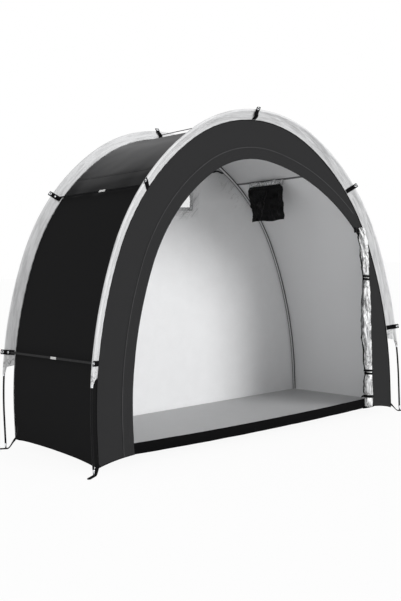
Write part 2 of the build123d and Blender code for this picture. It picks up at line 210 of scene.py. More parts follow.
def thicken(obj, thickness, offset=-1.0):
    """Gives a sheet its thickness; a second material goes on its inside and a third on its rim."""
    solid = obj.modifiers.new("cloth", "SOLIDIFY")
    solid.thickness = thickness
    solid.offset = offset
    solid.use_even_offset = False
    last = max(len(obj.data.materials) - 1, 0)
    solid.material_offset = min(1, last)
    solid.material_offset_rim = min(2, last)
    graph = bpy.context.evaluated_depsgraph_get()
    mesh = bpy.data.meshes.new_from_object(obj.evaluated_get(graph))
    old = obj.data
    obj.modifiers.clear()
    obj.data = mesh
    mesh.name = obj.name
    bpy.data.meshes.remove(old)
    mesh.set_sharp_from_angle(angle=radians(50))
    return obj


def walk(path):
    """Each point of a path, its length up to there and the way ahead."""
    path = [Vector(p) for p in path]
    runs = accumulate(((b - a).length for a, b in zip(path, path[1:])), initial=0.0)
    for i, (p, run) in enumerate(zip(path, runs)):
        ahead = path[min(i + 1, len(path) - 1)] - path[max(i - 1, 0)]
        yield p, run, ahead.normalized()


def ribbon(name, path, across, width, thickness, crown=0.0):
    """A flat tape along a path; across gives its width direction at each point."""
    rows, uvs = [], []
    for i, (p, run, ahead) in enumerate(walk(path)):
        side = Vector(across(i)).normalized()
        up = side.cross(ahead)
        places = steps(-0.5, 0.5, 4)
        rows.append([p + side * (v * width) + up * (crown * (1 - 4 * v * v)) for v in places])
        uvs += [(run, v * width) for v in places]
    return thicken(make(name, *lattice(rows), uvs), thickness, 0.0)


def tube(name, path, radius, sides=8):
    """Round piping or a tube along a path, with closed ends."""
    rows, uvs = [], []
    up = Vector((0.0, 1.0, 0.0))
    for i, (p, run, ahead) in enumerate(walk(path)):
        if abs(ahead.dot(up)) > 0.95:
            up = Vector((1.0, 0.0, 0.0))
        side = ahead.cross(up).normalized()
        top = side.cross(ahead)
        r = radius(i) if callable(radius) else radius
        turns = [TAU * j / sides for j in range(sides)]
        rows.append([p + side * (r * cos(a)) + top * (r * sin(a)) for a in turns])
        uvs += [(run, r * a) for a in turns]
    return make(name, *lattice(rows, True, True), uvs)


def join(name, objects):
    """Several mesh objects as one."""
    for o in bpy.context.selected_objects:
        o.select_set(False)
    for o in objects:
        o.select_set(True)
    bpy.context.view_layer.objects.active = objects[0]
    bpy.ops.object.join()
    objects[0].name = name
    objects[0].data.name = name
    return objects[0]


# Node trees
def operator(name, swapped=False):
    """A method of Value that does one sum in its node tree."""

    def apply(self, *other):
        values = (*other, self) if swapped else (self, *other)
        return self.tree.math(name, *values)

    return apply


class Value:
    """A number, vector or colour in a node tree, for sums written as Python writes them."""

    __add__, __sub__ = operator("ADD"), operator("SUBTRACT")
    __mul__, __truediv__ = operator("MULTIPLY"), operator("DIVIDE")
    __rsub__, __abs__ = operator("SUBTRACT", swapped=True), operator("ABSOLUTE")

    def __init__(self, tree, socket):
        self.tree, self.socket = tree, socket

    def span(self, low, high, from_low=0.0, from_high=1.0):
        """low at from_low and high at from_high, straight between them."""
        ends = {"From Min": from_low, "From Max": from_high, "To Min": low, "To Max": high}
        return self.tree.value(self.tree.node("ShaderNodeMapRange", {"Value": self, **ends}))


class Tree:
    """Nodes of a material or a world."""

    def __init__(self, tree):
        self.tree = tree

    def node(self, kind, inputs=(), **settings):
        made = self.tree.nodes.new(kind)
        for key, value in settings.items():
            setattr(made, key, value)
        for key, value in dict(inputs).items():
            self.put(made.inputs[key], value)
        return made

    def put(self, socket, value):
        if isinstance(value, Value):
            value = value.socket
        if isinstance(value, bpy.types.NodeSocket):
            self.tree.links.new(value, socket)
        else:
            socket.default_value = value

    def value(self, node, output=0):
        return Value(self, node.outputs[output])

    def math(self, operation, *values):
        return self.value(self.node("ShaderNodeMath", enumerate(values), operation=operation))

    def seen(self):
        """1 for rays from the camera, mirrors and clear film, and 0 for the light that falls."""
        path = self.node("ShaderNodeLightPath")
        mirrored, clear_ray = path.outputs["Is Glossy Ray"], path.outputs["Is Transmission Ray"]
        indirect = self.math("MAXIMUM", mirrored, clear_ray)
        return self.math("MAXIMUM", path.outputs["Is Camera Ray"], indirect)


class Shader(Tree):
    """A node material around one Principled shader."""

    def __init__(self, name, **plain):
        self.material = bpy.data.materials.new(name)
        self.material.use_nodes = True
        super().__init__(self.material.node_tree)
        self.shader = self.tree.nodes["Principled BSDF"]
        for key, value in plain.items():
            self.shader.inputs[key.replace("_", " ")].default_value = value

    def place(self):
        return self.value(self.node("ShaderNodeTexCoord"), "Object")

    def split(self, vector):
        made = self.node("ShaderNodeSeparateXYZ", {0: vector})
        return [self.value(made, axis) for axis in "XYZ"]

    def uv(self):
        return self.split(self.value(self.node("ShaderNodeTexCoord"), "UV"))[:2]

    def vector(self, *parts):
        return self.value(self.node("ShaderNodeCombineXYZ", enumerate(parts)))

    def stretched(self, scale, rotation=(0.0, 0.0, 0.0)):
        inputs = {"Vector": self.place(), "Scale": scale, "Rotation": rotation}
        return self.value(self.node("ShaderNodeMapping", inputs))

    def noise(self, scale, detail, roughness, distortion=0.0, where=None):
        inputs = {"Scale": scale, "Detail": detail, "Roughness": roughness, "Distortion": distortion}
        inputs["Vector"] = where or self.place()
        return self.value(self.node("ShaderNodeTexNoise", inputs), "Fac")

    def cells(self, scale, where):
        """Distance to the edge of uneven cells."""
        inputs = {"Vector": where, "Scale": scale}
        made = self.node("ShaderNodeTexVoronoi", inputs, feature="DISTANCE_TO_EDGE")
        return self.value(made, "Distance")

    def wave(self, value, length):
        return self.math("SINE", value * (TAU / length))

    def mix(self, share, a, b):
        return self.value(self.node("ShaderNodeMix", {0: share, 6: a, 7: b}, data_type="RGBA"), 2)

    def dress(self, colour, roughness, height, depth):
        """Sets the surface's colour, roughness and relief."""
        self.put(self.shader.inputs["Base Color"], colour)
        self.put(self.shader.inputs["Roughness"], roughness)
        bump = self.node("ShaderNodeBump", {"Strength": 1.0, "Distance": depth, "Height": height})
        self.put(self.shader.inputs["Normal"], bump.outputs["Normal"])
        return self.material


def shade(colour, factor):
    return tuple(min(1.0, c * factor) for c in colour[:3]) + (1.0,)


# Materials
class Cloth(Shader):
    """Woven cloth: threads both ways, soft mottling and fine crinkles, then marks of its own."""

    def __init__(self, name, colour, mottle, weave, size, specular):
        super().__init__(name, Specular_IOR_Level=specular)
        self.own = colour
        self.u, self.v = self.uv()
        threads = self.wave(self.u, weave) * self.wave(self.v, weave)
        self.patches = self.noise(size, 5.0, 0.6, 0.4)
        self.mixed = self.patches * 0.7 + self.noise(size * 9, 4.0, 0.65) * 0.3
        dark, light = shade(colour, 1 - mottle), shade(colour, 1 + mottle)
        self.base = self.mix(self.mixed + threads * 0.05, dark, light)
        self.height = threads * 0.06 + self.mixed

    def tint(self, share, factor):
        """Mixes in the cloth's own colour, made lighter or darker."""
        self.base = self.mix(share, self.base, shade(self.own, factor))

    def creases_painted_shade(self, share):
        """Long shallow creases, and sharp folds at the low ends of a sleeve, with painted shade in both.
        """
        slanted = self.vector(self.u * 9.0 + self.v * 30.0, self.v * 95.0, self.u)
        lines = self.noise(1.0, 5.0, 0.6, 0.6, slanted)
        # Painted shade along the long creases.
        self.tint(lines.span(share, 0.0, 0.38, 0.56), 0.4)
        low_end = abs(self.u).span(0.0, 1.0, length_at(0.47), length_at(0.40))
        folds = self.noise(24.0, 2.0, 0.5, 0.5)
        # Painted shade in the sharp folds at the low ends.
        self.tint(low_end * abs(folds - 0.5).span(0.9, 0.0, 0.0, 0.045), 0.14)
        self.height = self.height + folds * low_end * 9.0 + lines * 2.0

    def crumple_painted_shade(self, reach):
        """Creases round the window and under the top of the arch with painted shade in them, and painted
        shadow darkening the top corners.
        """
        x, _, z = self.split(self.place())
        dx = self.math("MAXIMUM", abs(x) - WINDOW_X, 0.0)
        dz = self.math("MAXIMUM", abs(z - WINDOW_Z) - WINDOW_RISE, 0.0)
        away = self.math("SQRT", dx * dx + dz * dz)
        near = away.span(1.0, 0.0, 0.0, reach)
        round_it, out_of_it = (
            self.noise(1.0, 3.0, 0.6, 0.8, self.vector(away * out, (x - z) * turn))
            for out, turn in ((170.0, 20.0), (18.0, 105.0))
        )
        lines = self.math("MINIMUM", round_it, out_of_it)
        # Painted shade in the creases round the window.
        self.tint(lines.span(1.0, 0.0, 0.34, 0.47) * near, 0.25)
        self.height = self.height + lines * near * 5.0
        over = z - (CROWN[1] - 0.04)
        out = self.math("SQRT", over * over + x * x)
        pulls_at = self.vector(self.math("ARCTAN2", x, over) * 60.0, out * 22.0)
        pulls = self.noise(1.0, 3.0, 0.6, 1.2, pulls_at)
        top = out.span(0.0, 1.0, CROWN_R - 0.10, CROWN_R + 0.01) * z.span(0.0, 1.0, 1.12, 1.25)
        # Painted shade in the pulls under the top of the arch.
        self.tint(top * pulls.span(0.8, 0.0, 0.34, 0.45), 0.3)
        # Painted shadow under the roof in the top corners.
        self.tint(z.span(0.0, 0.85, 1.20, 1.36) * abs(x).span(0.0, 1.0, 0.2, 0.42), 0.52)

    def painted_shade_beyond(self, length, factor):
        """Painted shade: the cloth made darker or lighter where its length u is past a value."""
        self.tint(self.math("GREATER_THAN", abs(self.u), length), factor)

    def sheen(self, colour, low, high):
        """Painted sheen: the base colour made lighter at grazing angles."""
        facing = self.value(self.node("ShaderNodeLayerWeight", {"Blend": 0.5}), "Facing")
        share = facing.span(0.0, 1.0, low, high) * facing.span(1.0, 0.75, high, 1.0)
        self.base = self.mix(share, self.base, (*colour, 1.0))

    def stitches(self, thread, *rows):
        """Rows of stitches at places v across the cloth."""
        off = abs(self.v - rows[0])
        for row in rows[1:]:
            off = self.math("MINIMUM", off, abs(self.v - row))
        dash = self.math("LESS_THAN", self.math("FRACT", self.u / 0.0045), 0.68)
        stitch = self.math("LESS_THAN", off, 0.0006) * dash
        self.base = self.mix(stitch, self.base, thread)
        self.height = self.height + stitch * 1.2

    def ridge(self, place, half_width, factor):
        """A painted highlight along a fold of the cloth."""
        off = abs(self.v - place) / half_width
        fold = self.math("MAXIMUM", 1.0 - off, 0.0) * self.patches
        self.tint(self.math("MINIMUM", fold * 2.2, 1.0), factor)


def cloth(name, colour, roughness, crinkle, mottle, specular, *marks, weave=0.0011, size=14.0):
    """A cloth material; marks are methods of Cloth with their values, in the order applied."""
    m = Cloth(name, colour, mottle, weave, size, specular)
    for mark, *values in marks:
        mark(m, *values)
    return m.dress(m.base, m.mixed.span(*roughness, 0.3, 0.7), m.height, crinkle)


def webbing(name, colour, **plain):
    """Narrow woven tape: ribs along it, a twill across, and wear."""
    m = Shader(name, **plain)
    u, v = m.uv()
    ribs, twill = m.wave(v, 0.0016), m.wave(u + v, 0.00208)
    wear = m.noise(70.0, 4.0, 0.6)
    base = m.mix(ribs * 0.22 + wear + twill * 0.1, shade(colour, 0.6), shade(colour, 1.7))
    return m.dress(base, wear.span(0.62, 0.85, 0.3, 0.7), ribs * 0.6 + twill * 0.4, 0.0003)


def box_webbing(name, colour, **plain):
    """The same tape on pieces without a map of their own, woven by their place in space."""
    m = Shader(name, **plain)
    x, y, z = m.split(m.place())
    ribs, rise = m.wave(y, 0.0021), m.wave(x + z, 0.0016)
    wear = m.noise(60.0, 4.0, 0.6)
    base = m.mix(rise * 0.15 + wear, shade(colour, 0.6), shade(colour, 1.7))
    return m.dress(base, wear.span(0.6, 0.85, 0.3, 0.7), ribs * 0.5 + rise, 0.00025)


def crinkled(name, colour, metallic, size=15.0, painted_light_above=None):
    """Silver-coated cloth that has been rolled: sharp creases with painted shade in their lines, and
    dull and bright facets of painted shade and painted highlight.

    paler is (from height, to height, share): painted light that makes the cloth lighter above.
    """
    m = Shader(name, Metallic=metallic)
    bent = m.stretched((1.0, 1.0, 0.36), (0.35, 0.6, 0.2))
    large, small = m.cells(size * 1.6, bent), m.cells(size * 3.0, bent)
    folds = m.noise(size, 6.0, 0.6, 1.8, bent)
    ridges = abs(folds - 0.5)
    patches = m.noise(size * 1.7, 4.0, 0.6, 1.2, bent)
    # Painted highlights on the bright facets and painted shade on the dull ones.
    light = shade(colour, 1.66)
    base = m.mix(patches.span(0.0, 1.0, 0.36, 0.64), shade(colour, 0.85), light)
    # Painted light: the cloth is lighter above a height.
    if painted_light_above:
        low, high, share = painted_light_above
        base = m.mix(m.split(m.place())[2].span(0.0, share, low, high), base, light)
    # Painted shade in the crack lines and along the crease ridges.
    base = m.mix(small.span(0.55, 0.0, 0.0, 0.07), base, shade(colour, 0.15))
    base = m.mix(ridges.span(0.9, 0.0, 0.0, 0.05), base, shade(colour, 0.12))
    height = ridges * 2.0 + (large + small * 0.3) * 0.8
    return m.dress(base, folds.span(0.28, 0.5, 0.3, 0.7), height, 0.0040)


def metal(name, colour, grain, roughness, depth, **plain):
    """Metal or rod with fine drawn lines and handling marks."""
    m = Shader(name, **plain)
    lines = m.noise(900.0, 3.0, 0.6, 0.0, m.stretched((1.0, 1.0, grain)))
    marks = m.noise(45.0, 5.0, 0.65)
    base = m.mix(marks, shade(colour, 0.8), shade(colour, 1.15))
    return m.dress(base, (marks * 0.6 + lines * 0.4).span(*roughness, 0.3, 0.7), lines, depth)


def film(name):
    """Clear window film: mostly see-through, with soft gloss and faint haze."""
    m = Shader(name, IOR=1.4)
    haze = m.noise(7.0, 4.0, 0.6, 0.8)
    m.put(m.shader.inputs["Alpha"], haze.span(0.10, 0.24, 0.3, 0.7))
    return m.dress((0.95, 0.97, 0.98, 1.0), haze.span(0.08, 0.2, 0.3, 0.7), haze, 0.002)


CHARCOAL = (0.0272, 0.0272, 0.0280)
WEB = (0.006, 0.006, 0.0065)
SILVER = (0.80, 0.803, 0.81)
MATT = 0.02
# Painted sheen: the black cloth's colour is lighter at grazing angles.
SHEEN = (Cloth.sheen, (0.19, 0.19, 0.192), 0.64, 0.86)
# Painted shade: the shell's walls below 1.222 m are darker than its roof.
shell_out = cloth(
    "shell_black", (0.0265, 0.0265, 0.0272), (0.42, 0.55), 0.0006, 0.2, 0.0,
    (Cloth.painted_shade_beyond, length_at(1.222), 0.64), SHEEN,
)
# Painted shade: the base is 0.8 of the silver for the roof's underside, and past the roof seam it is
# lifted back to the full silver.
silver_in = cloth(
    "silver_inside", shade(SILVER, 0.8), (0.4, 0.6), 0.0012, 0.05, 0.3, (Cloth.painted_shade_beyond, SEAM_S, 1.25),
)
back_out = cloth("back_black", (0.0135, 0.0135, 0.014), (0.42, 0.55), 0.0006, 0.2, 0.0, SHEEN)
# Painted shade in its creases and painted shadow in its top corners.
silver_back = cloth("silver_back", SILVER, (0.4, 0.6), 0.0014, 0.06, 0.3, (Cloth.crumple_painted_shade, 0.075))
charcoal = cloth("front_charcoal", CHARCOAL, (0.62, 0.78), 0.0005, 0.05, MATT)
# Painted highlight along the storm flap's rolled outer edge.
charcoal_strip = cloth(
    "charcoal_strip", CHARCOAL, (0.6, 0.75), 0.0004, 0.06, MATT,
    (Cloth.stitches, shade(CHARCOAL, 1.4), -0.019, 0.0), (Cloth.ridge, 0.0335, 0.0035, 2.25),
)
# Painted shade in the sleeve's creases and folds.
sleeve_silver = cloth(
    "sleeve_silver", (0.73, 0.733, 0.74), (0.42, 0.6), 0.0016, 0.06, 0.3, (Cloth.creases_painted_shade, 0.34),
)
window_silver = cloth(
    "window_tape", SILVER, (0.34, 0.5), 0.0024, 0.14, 0.3, (Cloth.creases_painted_shade, 0.2), (Cloth.crumple_painted_shade, 0.05),
    (Cloth.stitches, (0.25, 0.25, 0.25, 1.0), -0.0075, 0.0075), size=40.0,
)
floor_grey = cloth("floor_silver", (0.46, 0.463, 0.468), (0.5, 0.65), 0.0012, 0.1, 0.2)
soft_black = cloth("soft_black", (0.0036, 0.0036, 0.004), (0.4, 0.6), 0.0030, 0.3, 0.12)
sill_black = cloth("sill_black", (0.0032, 0.0032, 0.0035), (0.5, 0.62), 0.0006, 0.2, MATT)
binding = cloth(
    "binding_black", WEB, (0.6, 0.8), 0.0004, 0.3, MATT, (Cloth.stitches, shade(WEB, 3.0), 0.0),
    weave=0.0009,
)
seam_black = cloth(
    "seam_black", (0.024, 0.024, 0.0246), (0.42, 0.55), 0.0006, 0.2, 0.0, SHEEN,
    (Cloth.stitches, (0.0225, 0.0225, 0.0246, 1.0), -0.004, 0.004),
)
grey_tape = cloth(
    "seam_tape", (0.14, 0.14, 0.143), (0.5, 0.7), 0.0004, 0.15, 0.2,
    (Cloth.stitches, (0.03, 0.03, 0.03, 1.0), -0.003, 0.003), weave=0.0009,
)
web_black = webbing("webbing_black", WEB, Specular_IOR_Level=MATT)
web_box = box_webbing("webbing_band", WEB, Specular_IOR_Level=MATT)
# Painted highlight: the lower cross straps get a lighter grey than the black webbing, for the light
# along their edges.
web_strap_painted_highlight = box_webbing("webbing_strap_painted_highlight", (0.040, 0.040, 0.041), Specular_IOR_Level=MATT)
tag_white = box_webbing("tag_white", (0.95, 0.95, 0.94))
# Painted light: the roll's top is lighter.
silver_roll = crinkled("roll_silver", (0.60, 0.605, 0.615), 0.3, painted_light_above=(0.73, 0.84, 0.8))
silver_vent = crinkled("silver_vent", (0.86, 0.865, 0.875), 0.2, size=26.0)
# Painted shade: a dark grey copy of the crinkled silver for a fold of the rolled door that lies in
# shade.
painted_fold_shade = crinkled("painted_fold_shade", (0.13, 0.131, 0.134), 0.2)
rod_black = metal(
    "pole_black", (0.006, 0.006, 0.0065), 0.03, (0.4, 0.55), 0.00005, Specular_IOR_Level=0.08,
)
bright = metal("bright_metal", (0.74, 0.75, 0.77), 0.05, (0.22, 0.36), 0.00012, Metallic=1.0)
clear = film("clear_film")


# Shell: one sheet from the left hem over the roof to the right hem
def hem_height(y):
    """Height of the side walls' hem, which bows up a little and drops to the front."""
    t = y / INNER
    return CORNER + 0.004 + 0.011 * t + 0.013 * (1 - t * t)


def shell_drop(s, y):
    """How far the cloth is drawn in from the arch line between the two arches."""
    t, edge = abs(y) / INNER, INNER - abs(y)
    sag = (0.004 + 0.003 * bell(s, 0.75)) * (1 - t * t)
    pucker = 0.0006 * exp(-edge / 0.03) * sin(TAU * s / 0.052 + 4 * rough(s * 5, y, 1.0, 2))
    soft = 0.0030 * rough(s * 2.6, y * 2.0, 7.0, 3) * (1 - t**6)
    folds = 0.0016 * rough(s * 15, y * 1.6, 3.0, 3) * bell(abs(s) - SEAM_S - 0.06, 0.08)
    foot = S4 - abs(s)
    r = hypot(foot, edge)
    rays = sin(10 * atan2(foot, edge + 1e-6)) * smooth(0.0, 0.04, r)
    corner = 0.0035 * exp(-r / 0.11) * rays
    return max(sag + pucker + soft + folds + corner, -0.0012) + 0.0008


def shell_point(s, y, out=0.0):
    x, z = arch(s, shell_drop(s, y) - out)[:2]
    return Vector((x, y, z))


def build_shell():
    def place(s, y):
        foot = S3 + SPRING - hem_height(y)
        t = max(-foot, min(foot, s * foot / S4))
        return shell_point(t, y), (t, y)

    obj = surface(
        "shell_cloth", steps(-S4, S4, 230), steps(-INNER, INNER, 44, 0.55), place,
        out=lambda c: (c.x, 0, c.z - 0.3),
    )
    walls = ("left_wall", "right_wall", "roof_panel")
    finish_piece(obj, shell_out, silver_in, binding, replaces=walls, slot="shell_black")
    thicken(obj, CLOTH)


def roof_tape(name, s, out, material):
    path = [shell_point(s, y, out) for y in steps(-INNER, INNER, 50)]
    tangent = Vector(arch(s + 0.01)[:2]) - Vector(arch(s - 0.01)[:2])
    finish_piece(ribbon(name, path, lambda i: (tangent.x, 0, tangent.y), 0.012, TAPE), material)


build_shell()
for label, side in SIDES:
    roof_tape(f"{label}_roof_seam", side * SEAM_S, 0.0004, seam_black)
    roof_tape(f"{label}_roof_seam_inside", side * (SEAM_S + 0.004), -0.0018, grey_tape)


# Flat cloth with any outline
def between(a, b, spacing):
    """Points from a to b at about a spacing, the last one left out."""
    a, b = Vector(a), Vector(b)
    n = max(1, round((b - a).length / spacing))
    return [tuple(a.lerp(b, i / n)) for i in range(n)]


def cut(outline, holes, spacing, keep, fine=None):
    """Triangles that fill an outline apart from its holes; fine adds points in a box."""
    points, edges = [], []
    for loop in [outline] + holes:
        start = len(points)
        points += loop
        edges += [(start + i, start + (i + 1) % len(loop)) for i in range(len(loop))]
    fixed = np.array(points)

    def free(x, z, gap):
        return keep(x, z) and np.min(np.abs(fixed[:, 0] - x) + np.abs(fixed[:, 1] - z)) > gap

    z, shift = CORNER, 0.0
    while z < APEX:
        x = -HALF + shift
        while x < HALF:
            if free(x, z, 0.55 * spacing):
                points.append((x, z))
            x += spacing
        z += spacing * 0.87
        shift = 0.5 * spacing - shift
    if fine:
        x0, x1, z0, z1, step = fine
        for z in np.arange(z0, z1, step * 0.87):
            points += [(float(x), float(z)) for x in np.arange(x0, x1, step) if free(x, z, 0.6 * step)]
    made = geometry.delaunay_2d_cdt([Vector(p) for p in points], edges, [], 0, 1e-6)
    verts, faces = [tuple(v) for v in made[0]], []
    for f in made[2]:
        x, z = (sum(verts[i][axis] for i in f) / 3 for axis in (0, 1))
        if keep(x, z):
            faces.append(tuple(f))
    return verts, faces


def flat_cloth(name, verts, faces, face, out):
    """The cut cloth on its face, y at (x, z), looking to the side out."""
    return make(name, [(x, face(x, z), z) for x, z in verts], faces, verts, (0, out, 0))


# Front panel with its doorway
def in_door(x, z, grow=0.0):
    if x > HINGE_X + grow or z < SILL_LOW:
        return False
    if x <= 0 or atan2(x, z - CROWN[1]) < DOOR_TURN and z > CROWN[1]:
        return arch_coords(x, z)[1] > BAND - grow
    cx, cz, r = DOOR_ARC
    return hypot(x - cx, z - cz) < r + grow


def turned(centre, radius, angles):
    """Points (x, z) of an arc, by their angles from straight up."""
    return [(centre[0] + radius * sin(a), centre[1] + radius * cos(a)) for a in angles]


def door_line(grow=0.0, end_x=None):
    """The doorway's edge from its left foot over the top to the foot of the hinge, or to end_x."""
    foot = S3 + SPRING - SILL_LOW
    n = int(foot / DOOR_STEP)
    points = [arch(-foot + foot * i / n, BAND - grow)[:2] for i in range(n)]
    points += turned(CROWN, CROWN_R - BAND + grow, steps(0.0, DOOR_TURN, 9)[:-1])
    cx, cz, r = DOOR_ARC
    r += grow
    hinge = HINGE_X + grow
    end = asin(((end_x or hinge) - cx) / r)
    points += turned((cx, cz), r, steps(DOOR_TURN, end, int(r * (end - DOOR_TURN) / DOOR_STEP)))
    if end_x is None:
        points += between(points[-1], (hinge, SILL_LOW), DOOR_STEP)[1:] + [(hinge, SILL_LOW)]
    return points


def front_hem(x):
    """Height of the front panel's hem beside the doorway."""
    inner = HINGE_X if x > 0 else -JAMB_X
    t = min(max((HALF - abs(x)) / (HALF - inner), 0.0), 1.0)
    return CORNER - 0.007 * (1 - t) ** 3 + 0.020 * t + 0.010 * t * (1 - t)


def front_y(x, z):
    """The front panel's face: taut, with puckers at the arch and soft waves beside the door."""
    s, inset = arch_coords(x, z)
    wobble = sin(TAU * s / 0.047 + 3 * rough(s * 6, 0, 2, 2))
    pucker = 0.0004 * exp(-max(inset, 0) / 0.025) * wobble
    wave = 0.0018 * rough(s * 2.2, inset * 9, 5.0, 3)
    edge = 0.0010 * exp(-abs(inset - BAND) / 0.02) * rough(s * 16, 1.0, 4.0, 2)
    return FRONT_FACE - 0.6 * (pucker + wave + edge)


ARCH_LINE = [arch(s)[:2] for s in steps(-S4, S4, 320)]


def build_front():
    left = [(x, front_hem(x)) for x in steps(JAMB_X, -HALF, 14)]
    right = [(x, front_hem(x)) for x in steps(HALF, HINGE_X, 12)]
    outline = ARCH_LINE[:-1] + right + door_line()[-2:0:-1] + left[:-1]

    def keep(x, z):
        return arch_coords(x, z)[1] > 0.0005 and z > front_hem(x) and not in_door(x, z)

    obj = flat_cloth("front_cloth", *cut(outline, [], 0.017, keep), front_y, -1)
    finish_piece(obj, charcoal, silver_in, binding, replaces=("front_panel",), slot="front_charcoal")
    thicken(obj, CLOTH)


def build_storm_flap():
    """The strip over the zip: flat at the doorway, with a rolled outer edge."""
    reach = [0.0, 0.002, 0.014, 0.028, 0.042, 0.0515, 0.0545, 0.0565, 0.0578, 0.0585]
    lift = [0.0008, 0.0014, 0.0015, 0.0015, 0.0016, 0.0020, 0.0034, 0.0034, 0.0014, 0.0002]
    strips = [(g, up, door_line(g, end_x=0.690)) for g, up in zip(reach, lift)]

    def place(share, strip):
        g, up, line = strip
        t = share * (len(line) - 1)
        i = min(int(t), len(line) - 2)
        x, z = Vector(line[i]).lerp(Vector(line[i + 1]), t - i)
        flatter = 1 - 0.7 * smooth(0.36, 0.60, x) if g > 0.04 else 1
        wave = 0.0005 * rough(x * 14, z * 14, 2.0, 2)
        return (x, front_y(x, z) - up * flatter - abs(wave), z), (t * DOOR_STEP, g - 0.022)

    obj = surface("storm_flap_cloth", steps(0, 1, 330), strips, place, out=(0, -1, 0))
    finish_piece(obj, charcoal_strip, replaces=("door_storm_flap",), slot="front_charcoal")
    thicken(obj, 0.0008)


build_front()
build_storm_flap()


# Back panel with its window
def back_y(x, z):
    """The back panel's face: puckers at the arch, a billow and ripples round the window."""
    s, inset = arch_coords(x, z)
    wobble = sin(TAU * s / 0.055 + 4 * rough(s * 5, 0, 9, 2))
    pucker = 0.0010 * exp(-max(inset, 0) / 0.03) * wobble
    billow = 0.0056 * smooth(0.0, 0.45, inset) * (1 + 0.3 * rough(x * 1.5, z * 1.5, 6.0, 2))
    soft = 0.0022 * rough(x * 3.0, z * 2.2, 8.0, 3) * smooth(0.0, 0.1, inset)
    away = hypot(max(abs(x) - WINDOW_X, 0.0), max(abs(z - WINDOW_Z) - WINDOW_RISE, 0.0))
    around = atan2(z - WINDOW_Z, x * 0.6)
    ray = sin(46 * around + 7 * rough(x * 5, z * 5, 3.0, 2))
    ray += 0.6 * sin(TAU * (x + 0.6 * z) / 0.034)
    ripple = 0.0030 * exp(-away / 0.045) * ray * (0.6 + 0.6 * rough(x * 12, z * 12, 5.0, 2))
    return BACK_FACE + pucker + billow + soft + ripple


def back_hem(x):
    rise = 0.024
    radius = (HALF**2 + rise**2) / (2 * rise)
    return CORNER + rise - radius + sqrt(radius**2 - x * x) + 0.015 * (x / HALF) ** 8


def window_loop(spacing):
    """Points round the window."""
    low, high = WINDOW_Z - WINDOW_RISE, WINDOW_Z + WINDOW_RISE
    corners = [(-WINDOW_X, low), (WINDOW_X, low), (WINDOW_X, high), (-WINDOW_X, high)]
    return [p for i in range(4) for p in between(corners[i], corners[(i + 1) % 4], spacing)]


def build_back():
    hem = [(x, back_hem(x)) for x in steps(HALF, -HALF, 110)]

    def keep(x, z):
        inside = arch_coords(x, z)[1] > 0.0005 and z > back_hem(x)
        return inside and not (abs(x) < WINDOW_X and abs(z - WINDOW_Z) < WINDOW_RISE)

    wide, high = WINDOW_X + 0.05, WINDOW_RISE + 0.05
    fine = (-wide, wide, WINDOW_Z - high, WINDOW_Z + high, 0.009)
    pieces = cut(ARCH_LINE[:-1] + hem[:-1], [window_loop(0.008)], 0.024, keep, fine)
    obj = flat_cloth("back_cloth", *pieces, back_y, 1)
    finish_piece(obj, back_out, silver_back, binding, replaces=("back_panel",), slot="shell_black")
    thicken(obj, CLOTH)


def frame_tape(name, width, side, material, lift):
    """A wrinkled tape round the window, with mitred corners."""
    spacing = 0.006
    loop = window_loop(spacing)

    def place(k, t):
        x, z = loop[k % len(loop)]
        g = t * width - 0.004
        x *= (WINDOW_X + g) / WINDOW_X
        z = WINDOW_Z + (z - WINDOW_Z) * (WINDOW_RISE + g) / WINDOW_RISE
        bulge = lift * sin(pi * min(max(t, 0.02), 0.98))
        crease = 0.0026 * rough(x * 42, z * 42, 3.0, 3)
        y = back_y(x, z) + side * (0.0010 + bulge + abs(crease))
        return (x, y, z), ((k + 1) * spacing, (t - 0.5) * width)

    obj = surface(name, range(len(loop) + 1), steps(0, 1, 6), place, out=(0, side, 0))
    return thicken(finish_piece(obj, material), TAPE)


build_back()
tape = frame_tape("window_frame_inside", 0.019, -1, window_silver, 0.0014)
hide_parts("back_window_binding")
frame_tape("window_frame_outside", 0.018, 1, binding, 0.0008)


# Pole sleeves: two layers from the seam that part round the pole
def sleeve_point(s, row, q, h):
    """q runs out along the sleeve from the seam, h out of its open face."""
    x, z, nx, nz = arch(s)
    cos_t, sin_t = POLE_OUT / FIN, POLE_LEAN / FIN
    along = Vector((nx * cos_t, row * sin_t, nz * cos_t))
    face = Vector((-nx * sin_t, row * cos_t, -nz * sin_t))
    return Vector((x, row * DEPTH, z)) + along * q + face * h


def sleeve_profile():
    """Points (q, h) round the sleeve, from the seam's front to its back."""
    front = [(FIN * t, 0.0011 + 0.0050 * t**1.6) for t in steps(0, 1, 9)[:-1]]
    turns = [radians(a) for a in steps(100, -100, 8)]
    over_pole = [(FIN + 0.0063 * cos(a), 0.0063 * sin(a)) for a in turns]
    back = [(FIN * t, -0.0016 - 0.0045 * t**1.6) for t in steps(1, 0, 9)[1:]]
    return front + over_pole + back


